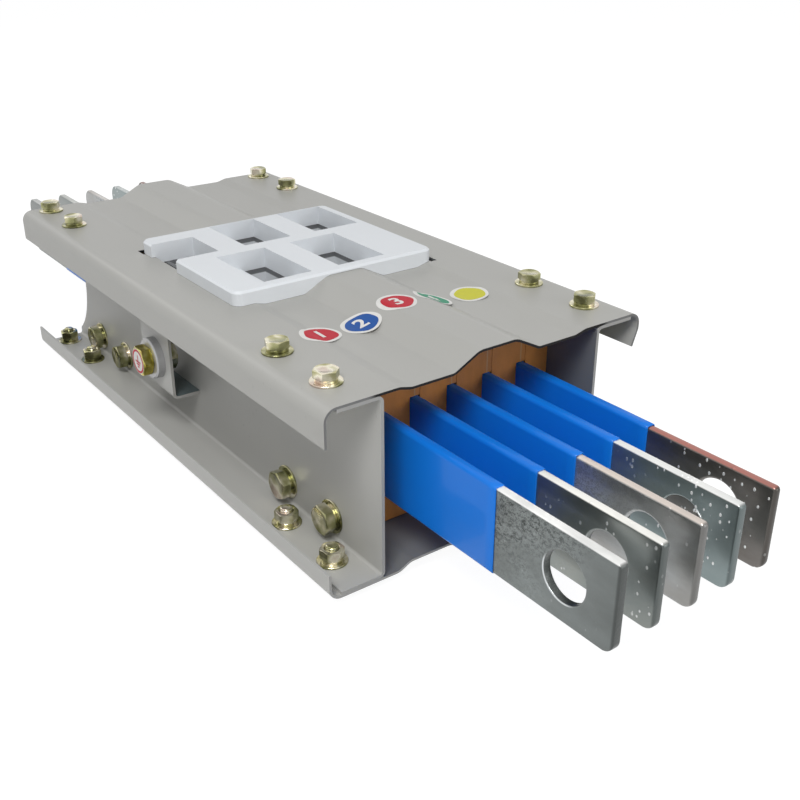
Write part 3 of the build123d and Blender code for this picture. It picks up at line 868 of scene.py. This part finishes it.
@dataclass
class Hardware:
    """All the bolts, nuts and washers, by the model's sizes in millimetres."""

    nodes: FastenerNodes
    front: float = -232.0
    back: float = 214.0
    base: float = 6.9
    height: float = 116.0
    bolt_x: float = 95.0
    web: float = 80.0
    sheets: float = 3.5
    setbacks_front: tuple[float, float] = (28.0, 78.0)
    setbacks_back: tuple[float, float] = (12.0, 62.0)
    stations: tuple[float, float] = (50.0, 100.0)
    tie_edge: float = 17.0
    coil: float = 1.7
    ridges: float = 8.0
    cover_tail: float = 2.2
    tie_tail: float = 2.5

    def along(self, front: Sequence[float], back: Sequence[float]) -> list[float]:
        """Places along the duct, by their distances from its two ends."""
        return [self.front + d for d in front] + [self.back - d for d in back]

    def cover_spots(self, level: float) -> list[Point]:
        """Seats of the cover bolts at one height, in metres."""
        along = self.along(self.setbacks_front, self.setbacks_back)
        return [(side * self.bolt_x * MM, y * MM, level * MM) for side in (-1, 1) for y in along]

    def tie_spots(self, across: float) -> list[Point]:
        """Seats of the tie bolts at one place across the duct, in metres."""
        along = self.along(self.stations, self.stations)
        levels = (self.base + self.tie_edge, self.base + self.height - self.tie_edge)
        return [(across * MM, y * MM, z * MM) for y in along for z in levels]

    def build(self) -> None:
        """Builds and dresses every fastener."""
        low, top = self.base, self.base + self.height
        lift = M8.washer_thickness + self.coil
        grip = self.sheets + 2 * lift + M8.nut + self.cover_tail
        under = replace(M8, head=low - lift)
        seat = self.web + M10.washer_thickness + self.coil
        reach = 2 * seat + M10.nut + self.tie_tail
        shank, nut = self.ridges, M8.nut_mesh()
        on_top, under_top = self.cover_spots(top + lift), self.cover_spots(top - self.sheets - lift)
        below, over_low = self.cover_spots(low - lift), self.cover_spots(low + self.sheets + lift)
        pieces = {
            "top_cover_bolts": [(M8.bolt(grip, shank), on_top, Facing.UP, Spread(0.5, 4))],
            "top_cover_nuts": [(nut, under_top, Facing.DOWN, Spread(0.5, 5))],
            "top_cover_washers": self._washers(self.cover_spots(top), self.cover_spots(top - self.sheets)),
            "bottom_cover_bolts": [(under.bolt(grip, shank), below, Facing.DOWN, Spread(0.5, 6))],
            "bottom_cover_nuts": [(nut, over_low, Facing.UP, Spread(0.25, 7))],
            "bottom_cover_washers": self._washers(self.cover_spots(low + self.sheets), self.cover_spots(low)),
            "tie_bolts": [(M10.bolt(reach, shank), self.tie_spots(-seat), Facing.LEFT, Spread(0.35, 8))],
            "tie_nuts": [(M10.nut_mesh(), self.tie_spots(seat), Facing.RIGHT, Spread(0.2, 9))],
            "tie_washers": [(self._pair(M10), self.tie_spots(-self.web), Facing.LEFT, Spread(3.0, 12)),
                            (self._pair(M10), self.tie_spots(self.web), Facing.RIGHT, Spread(3.0, 12))],
        }
        for name, sets in pieces.items():
            mesh = merge([self.nodes.place(*each) for each in sets])
            finish_piece(mesh_object(name + "_detail", mesh), ZINC, name)

    def _pair(self, thread: Thread) -> Mesh:
        """A flat washer with a spring washer on it."""
        flat = thread.washer_thickness
        return merge([thread.washer_mesh(), thread.spring_mesh(flat, flat + self.coil)])

    def _washers(self, above: Sequence[Point], below: Sequence[Point]) -> list[tuple]:
        """The covers' washers, which look up on one set of seats and down on another."""
        return [(self._pair(M8), above, Facing.UP, Spread(3.0, 10)),
                (self._pair(M8), below, Facing.DOWN, Spread(3.0, 11))]


# Conductors


@dataclass
class Conductors:
    """Five flat bars on edge and their sleeves."""

    across: tuple[float, ...] = (-55.0, -27.5, 0.0, 27.5, 55.0)
    looks: tuple[TinLook, ...] = tuple(TinLook)
    half_length: float = 380.0
    low: float = 39.9
    high: float = 89.9
    thickness: float = 5.0
    hole: float = 14.0
    setback: float = 33.0
    corners: tuple[float, float, float] = (2.5, 7.0, 10.0)
    edges: tuple[float, ...] = (0.6, 1.2, 1.7, 0.8, 1.8)
    sleeve_end: float = 298.0
    sleeve_half: tuple[float, float] = (3.5, 26.0)
    sleeve_corner: float = 2.5
    bore_half: tuple[float, float] = (2.6, 25.1)
    bore_corner: float = 0.4
    mouth: float = 0.35
    mouth_draw: float = 0.45
    draw: float = 0.12
    waves: tuple[float, float] = (0.11, 0.043)
    step: float = 6.0
    window_back: tuple[float, float] = (14.0, 60.0)
    window_front: tuple[float, float] = (-53.0, -7.0)
    window_first: tuple[float, float] = (-1.0, 45.0)
    window_depth: float = 16.0

    def windows(self) -> list[tuple[float, float]]:
        """Each sleeve's bare stretch, from the first bar to the last."""
        return [self.window_first, self.window_front, self.window_back, self.window_front, self.window_back]

    def middle(self) -> float:
        """Height of the bars' middle."""
        return (self.low + self.high) / 2

    def outline(self) -> list[tuple[float, float]]:
        """The bar's side view as points along Y and Z, in millimetres."""
        top_front, bottom_front, back = self.corners
        spots = [
            (-self.half_length, self.low, bottom_front, math.pi),
            (self.half_length, self.low, back, 1.5 * math.pi),
            (self.half_length, self.high, back, 0.0),
            (-self.half_length, self.high, top_front, 0.5 * math.pi),
        ]
        line = []
        for y, z, radius, start in spots:
            cy = y + (radius if y < 0 else -radius)
            cz = z + (radius if z == self.low else -radius)
            for step in range(11):
                turn = start + 0.5 * math.pi * step / 10
                line.append((cy + radius * math.cos(turn), cz + radius * math.sin(turn)))
        return line

    def bar_mesh(self, across: float, edge: float) -> Mesh:
        """A bar with two holes and softened edges.

        Args:
            across: The bar's centre on X, in millimetres.
            edge: Radius of its softened edges, in millimetres.

        Returns:
            The mesh, in place.
        """
        curve = bpy.data.curves.new("bar", "CURVE")
        curve.dimensions = "2D"
        curve.fill_mode = "BOTH"
        loops = [self.outline()]
        for y in (-self.half_length + self.setback, self.half_length - self.setback):
            loops.append([(y + self.hole * math.cos(turn), self.middle() + self.hole * math.sin(turn))
                          for turn in around(64)])
        for loop in loops:
            spline = curve.splines.new("POLY")
            spline.points.add(len(loop) - 1)
            for point, (y, z) in zip(spline.points, loop):
                point.co = (y * MM, z * MM, 0.0, 1.0)
            spline.use_cyclic_u = True
        curve.extrude = (self.thickness / 2 - edge) * MM
        curve.bevel_depth = edge * MM
        curve.bevel_resolution = 3
        curve.offset = -edge * MM
        mesh = evaluated(added("bar_curve", curve))
        mesh.transform(Matrix(((0, 0, 1, across * MM), (1, 0, 0, 0), (0, 1, 0, 0), (0, 0, 0, 1))))
        outward(mesh)
        return mesh

    def section(self, half: tuple[float, float], corner: float, across: float, along: float) -> list[Point]:
        """A rounded rectangle about a bar, at one place along it.

        Args:
            half: Half its width and half its height.
            corner: Radius of its corners.
            across: The bar's centre on X.
            along: Place on Y.

        Returns:
            The ring of points, in metres.
        """
        ring = []
        for quarter, (sx, sz) in enumerate(((1, 1), (-1, 1), (-1, -1), (1, -1))):
            for step in range(9):
                turn = (quarter + step / 8) * math.pi / 2
                x = across + sx * (half[0] - corner) + corner * math.cos(turn)
                z = self.middle() + sz * (half[1] - corner) + corner * math.sin(turn)
                ring.append((x * MM, along * MM, z * MM))
        return ring

    def skin(self, across: float, along: float, draw: float) -> list[Point]:
        """The sleeve's outline at one place, drawn in toward the bar."""
        half = (self.sleeve_half[0] - draw, self.sleeve_half[1] - draw)
        return self.section(half, self.sleeve_corner - draw, across, along)

    def tube(self, across: float, start: float, stop: float) -> Mesh:
        """A stretch of sleeve with softened ends and a slight waviness along it."""
        count = max(2, int((stop - start) / self.step))
        rings = [self.skin(across, start, self.mouth_draw)]
        for step in range(count + 1):
            along = start + self.mouth + (stop - start - 2 * self.mouth) * step / count
            wave = 0.5 + 0.5 * math.sin(along * self.waves[0] + across) * math.sin(along * self.waves[1])
            rings.append(self.skin(across, along, self.draw * wave))
        rings.append(self.skin(across, stop, self.mouth_draw))
        rings += [self.section(self.bore_half, self.bore_corner, across, along) for along in (stop, start)]
        return ring_stack(rings, closed=True)

    def trough(self, across: float, start: float, stop: float) -> Mesh:
        """The sleeve's stretch under an outlet opening, cut away at the top."""
        rim = (self.high - self.window_depth) * MM
        wide, slim = self.sleeve_half[0], self.bore_half[0]
        outer = [p for p in self.skin(across, start, 0.0) if p[2] < rim]
        inner = [p for p in self.section(self.bore_half, self.bore_corner, across, start) if p[2] < rim]
        edge = [((across + off) * MM, start * MM, rim) for off in (-wide, wide, slim, -slim)]
        loop = [edge[0], *outer, edge[1], edge[2], *inner[::-1], edge[3]]
        return ring_stack([loop, [(x, stop * MM, z) for x, _, z in loop]])

    def build(self) -> None:
        """Builds the bars and their sleeves, which are bare where a plug-in contact grips the bar."""
        rows = zip(self.across, self.looks, self.edges, self.windows())
        for number, (across, look, edge, (start, stop)) in enumerate(rows, 1):
            finish = TinnedCopper(f"tinned_copper_{number}", "tinned_copper", look)
            bar = mesh_object(f"busbar_{number}_detail", self.bar_mesh(across, edge), 40.0)
            finish_piece(bar, finish, f"busbar_{number}")
            parts = [self.tube(across, -self.sleeve_end, start), self.trough(across, start, stop),
                     self.tube(across, stop, self.sleeve_end)]
            sleeve = mesh_object(f"busbar_sleeve_{number}_detail", merge(parts), 50.0)
            finish_piece(sleeve, SLEEVE, f"busbar_sleeve_{number}")


# Labels


class Ink(Enum):
    """Label colours."""

    RED = (0.52, 0.012, 0.03)
    BLUE = (0.010, 0.085, 0.34)
    GREEN = (0.015, 0.26, 0.14)
    YELLOW = (0.62, 0.60, 0.05)
    WHITE = (0.80, 0.79, 0.76)


def printed(name: str, mesh: Mesh, colour: Ink) -> None:
    """Adds a piece of vinyl in one ink."""
    finish = PrintedVinyl("vinyl_" + colour.name.lower(), "outlet_white", colour.value)
    finish_piece(mesh_object(name, mesh), finish)


@dataclass
class Labels:
    """Round phase labels that follow the rolled cover, by sizes in millimetres."""

    cover: Object
    along: float = -142.0
    radius: float = 12.5
    rim: float = 2.4
    off_centre: tuple[float, float] = (0.3, -0.2)
    uneven: tuple[float, float] = (0.03, 0.055)
    lifts: tuple[float, float, float] = (0.12, 0.18, 0.26)
    numeral_size: float = 15.0
    numeral_weight: float = 0.0004
    stiffness: float = 12.0
    rings: int = 8
    segments: int = 56
    spots: tuple[tuple[float, float, Ink, str], ...] = (
        (-61.0, -3.0, Ink.RED, "1"),
        (-33.0, -4.0, Ink.BLUE, "2"),
        (-5.5, -3.0, Ink.RED, "3"),
        (23.0, -1.5, Ink.GREEN, "4"),
        (53.5, -0.5, Ink.YELLOW, ""),
    )
    tree: BVHTree = field(init=False)

    def __post_init__(self) -> None:
        """Makes the cover ready for dropping points on it."""
        mesh = self.cover.data
        corners = [vertex.co.copy() for vertex in mesh.vertices]
        self.tree = BVHTree.FromPolygons(corners, [tuple(face.vertices) for face in mesh.polygons])

    def level(self, x: float, y: float) -> float:
        """Height of the cover at one place, in metres."""
        return self.tree.ray_cast(Vector((x, y, 1.0)), Vector((0, 0, -1)))[0].z

    def drop(self, mesh: Mesh, lift: float) -> Mesh:
        """Lays a flat mesh above the cover; the stiff vinyl spans the creases at the hump's feet."""
        for vertex in mesh.vertices:
            x, y, _ = vertex.co
            near = [self.level(x + step * self.stiffness / 4 * MM, y) for step in range(-4, 5)]
            vertex.co.z = max(near[4], sum(near) / len(near)) + lift * MM
        return mesh

    def disc(self, x: float, y: float, radius: float, uneven: float) -> Mesh:
        """A disc of rings with a slightly uneven edge.

        Args:
            x: Its centre across the duct.
            y: Its centre along the duct.
            radius: Its mean radius.
            uneven: Share of the radius that its edge strays.

        Returns:
            The flat mesh, over its place.
        """
        points = [(x * MM, y * MM, 0.0)]
        for ring in range(1, self.rings + 1):
            for turn in around(self.segments):
                stray = math.sin(3 * turn + x) * 0.6 + math.sin(5 * turn + 2 * x) * 0.4
                r = radius * ring / self.rings * (1.0 + uneven * stray)
                points.append(((x + r * math.cos(turn)) * MM, (y + r * math.sin(turn)) * MM, 0.0))
        count = self.segments
        faces = [(0, 1 + i, 1 + (i + 1) % count) for i in range(count)]
        for ring in range(self.rings - 1):
            for i in range(count):
                a, b = 1 + ring * count + i, 1 + ring * count + (i + 1) % count
                faces.append((a, a + count, b + count, b))
        return mesh_of(points, faces)

    def numeral(self, text: str, x: float, y: float) -> Mesh:
        """A numeral as a flat mesh, lying with its foot toward the front."""
        data = bpy.data.curves.new("numeral", "FONT")
        data.body = text
        data.size = self.numeral_size * MM
        data.align_x = "CENTER"
        data.align_y = "CENTER"
        data.offset = self.numeral_weight
        mesh = evaluated(added("numeral", data))
        mesh.transform(Matrix.Translation((x * MM, y * MM, 0.0)))
        work = bmesh.new()
        work.from_mesh(mesh)
        bmesh.ops.triangulate(work, faces=work.faces)
        bmesh.ops.subdivide_edges(work, edges=work.edges, cuts=3, use_grid_fill=True)
        work.to_mesh(mesh)
        work.free()
        return mesh

    def build(self) -> None:
        """Builds the five labels."""
        for number, (x, shift, colour, text) in enumerate(self.spots, 1):
            y = self.along + shift
            base = self.disc(x, y, self.radius, self.uneven[0])
            printed(f"label_{number}_base", self.drop(base, self.lifts[0]), Ink.WHITE)
            right, up = self.off_centre
            face = self.disc(x + right, y + up, self.radius - self.rim, self.uneven[1])
            printed(f"label_{number}_face", self.drop(face, self.lifts[1]), colour)
            if text:
                figure = self.numeral(text, x, y)
                printed(f"label_{number}_numeral", self.drop(figure, self.lifts[2]), Ink.WHITE)


# Earth terminal


@dataclass
class EarthTerminal:
    """Bracket, boss, bolt and the ring label on the bolt's head, in millimetres."""

    nodes: FastenerNodes
    face: float = -100.0
    sheet: float = 2.0
    boss_height: float = 6.0
    along: float = 7.0
    level: float = 64.9
    grip: float = 18.0
    ridges: float = 9.0
    label: float = 8.9
    ring: tuple[float, float] = (1.9, 0.4)
    lifts: tuple[float, float] = (0.05, 0.12)
    sign: tuple[tuple[float, float, float], ...] = (
        (2.2, 1.1, 4.6),
        (-0.4, 8.0, 1.2),
        (-2.3, 5.4, 1.2),
        (-4.1, 2.6, 1.2),
    )

    def build(self, nodes: dict[str, Object]) -> None:
        """Builds the bolt, the nut and the label and dresses the rest."""
        dress_node(nodes["earth_bracket"], BRACKET_PAINT)
        dress_node(nodes["earth_boss"], STEEL)
        seat = self.face - self.boss_height
        self._fasten("earth_bolt", M12.bolt(self.grip, self.ridges), seat, Facing.LEFT, GOLD_ZINC)
        self._fasten("earth_nut", M12.nut_mesh(), self.face + self.sheet, Facing.RIGHT, ZINC)
        low, high = (seat - M12.head - lift for lift in self.lifts)
        inner, outer = (self.label - edge for edge in self.ring)
        self._plate("earth_label_base", self._disc(self.label), low, Ink.WHITE)
        self._plate("earth_label_ring", self._ring(inner, outer), high, Ink.RED)
        self._plate("earth_label_sign", merge([self._bar(*bar) for bar in self.sign]), high, Ink.RED)

    def _fasten(self, name: str, source: Mesh, across: float, facing: Facing, finish: Finish) -> None:
        """Sets one fastener on the terminal's axis."""
        spot = (across * MM, self.along * MM, self.level * MM)
        mesh = self.nodes.place(source, [spot], facing, Spread(0.0, 3))
        finish_piece(mesh_object(name + "_detail", mesh), finish, name)

    def _circle(self, radius: float) -> list[Point]:
        """Points of a flat circle."""
        return [(radius * math.cos(turn), radius * math.sin(turn), 0.0) for turn in around(48)]

    def _disc(self, radius: float) -> Mesh:
        """A flat disc."""
        circle = self._circle(radius)
        return mesh_of(circle, [tuple(range(len(circle)))])

    def _ring(self, inner: float, outer: float) -> Mesh:
        """A flat ring."""
        points = self._circle(outer) + self._circle(inner)
        count = len(points) // 2
        pairs = [(i, (i + 1) % count) for i in range(count)]
        return mesh_of(points, [(a, b, count + b, count + a) for a, b in pairs])

    def _bar(self, y: float, width: float, height: float) -> Mesh:
        """A flat rectangle about a point of the upright axis."""
        w, h = width / 2, height / 2
        return mesh_of([(-w, y - h, 0), (w, y - h, 0), (w, y + h, 0), (-w, y + h, 0)], [(0, 1, 2, 3)])

    def _plate(self, name: str, mesh: Mesh, across: float, colour: Ink) -> None:
        """Stands a flat mesh against the bolt's head, looking left."""
        mesh.transform(Matrix(((0, 0, -MM, across * MM), (-MM, 0, 0, self.along * MM),
                               (0, MM, 0, self.level * MM), (0, 0, 0, 1))))
        printed(name, mesh, colour)


# Duct and outlet


@dataclass
class Duct:
    """Sheet steel channels and covers, supports and the plug-in outlet."""

    steel: tuple[str, ...] = ("side_channel_left", "side_channel_right", "top_cover", "bottom_cover")

    def build(self, nodes: dict[str, Object]) -> None:
        """Dresses the nodes."""
        for name in self.steel:
            dress_node(nodes[name], COVER_PAINT if name == "top_cover" else PAINT)
        for name, node in nodes.items():
            if name.startswith("support_"):
                dress_node(node, INSULATOR)
            elif name.startswith("contact_shroud") or name == "outlet_guide":
                dress_node(node, GREY)
        dress_node(nodes["outlet_frame"], WHITE)


# Studio


@dataclass(frozen=True)
class Lamp:
    """A soft square lamp: its name, place in metres, power in watts and side in metres."""

    name: str
    spot: Point
    watts: float
    size: float


@dataclass
class Studio:
    """Floor, lights, world and camera."""

    eye: Point = (-0.35940, -0.62580, 0.35340)
    target: Point = (-0.00326, -0.14496, 0.06290)
    lens: float = 47.07
    half_floor: float = 6.0
    floor_lit: Colour = (0.75, 0.75, 0.74)
    floor_shade: Colour = (0.20, 0.20, 0.20)
    floor_glow: float = 0.93
    sky: Colour = (0.96, 0.975, 1.0)
    sky_strength: float = 0.33
    lamps: tuple[Lamp, ...] = (
        Lamp("key", (-0.78, -0.88, 1.42), 19.5, 0.7),
        Lamp("front_fill", (0.75, -1.8, 0.6), 6.5, 0.9),
        Lamp("back", (-0.5, 1.75, 1.35), 3.5, 0.7),
    )

    def floor(self) -> None:
        """Adds a floor that is white to the eye and to gloss, with the duct's faint shadow."""
        half = self.half_floor
        corners = [(-half, -half, 0), (half, -half, 0), (half, half, 0), (-half, half, 0)]
        floor = added("floor", mesh_of(corners, [(0, 1, 2, 3)]))
        material = bpy.data.materials.new("floor")
        material.use_nodes = True
        tree = Tree(material.node_tree)
        lit = tree.wire("ShaderNodeBsdfDiffuse", {"Color": self.floor_lit})
        shade = tree.wire("ShaderNodeBsdfDiffuse", {"Color": self.floor_shade})
        glow = tree.wire("ShaderNodeEmission", {"Strength": self.floor_glow})
        white = tree.wire("ShaderNodeAddShader", {0: shade, 1: glow})
        tree.finish("ShaderNodeOutputMaterial", lit, white)
        floor.data.materials.append(material)

    def world(self) -> None:
        """A white surround for the eye and for gloss, and a softer one for light."""
        world = bpy.data.worlds.new("surround")
        bpy.context.scene.world = world
        world.use_nodes = True
        tree = Tree(world.node_tree)
        soft = tree.wire("ShaderNodeBackground", {"Color": self.sky, "Strength": self.sky_strength})
        white = tree.wire("ShaderNodeBackground", {"Color": (1.0, 1.0, 1.0), "Strength": 1.0})
        tree.finish("ShaderNodeOutputWorld", soft, white)

    def aim(self, name: str, data: bpy.types.ID, spot: Point) -> Object:
        """Adds a lamp or camera that looks at the duct."""
        made = added(name, data)
        made.location = spot
        made.rotation_euler = (Vector(self.target) - Vector(spot)).to_track_quat("-Z", "Y").to_euler()
        return made

    def camera(self) -> None:
        """Adds the camera at the photograph's angle."""
        data = bpy.data.cameras.new("camera")
        data.sensor_width = 36.0
        data.lens = self.lens
        data.clip_start = 0.01
        data.clip_end = 30.0
        bpy.context.scene.camera = self.aim("camera", data, self.eye)

    def light(self, lamp: Lamp) -> None:
        """Adds one lamp."""
        data = bpy.data.lights.new(lamp.name, "AREA")
        data.shape = "SQUARE"
        data.size = lamp.size
        data.energy = lamp.watts
        self.aim(lamp.name, data, lamp.spot)

    def build(self) -> None:
        """Builds the whole studio."""
        self.floor()
        self.world()
        self.camera()
        for lamp in self.lamps:
            self.light(lamp)
        bpy.context.scene.view_settings.view_transform = "Standard"


def main() -> None:
    """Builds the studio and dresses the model."""
    logging.basicConfig(level=logging.INFO, format="%(name)s: %(message)s")
    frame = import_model()
    nodes = frame["nodes"]
    Studio().build()
    Duct().build(nodes)
    fasteners = FastenerNodes()
    Conductors().build()
    Hardware(fasteners).build()
    EarthTerminal(fasteners).build(nodes)
    Labels(nodes["top_cover"]).build()


if __name__ == "__main__":
    main()
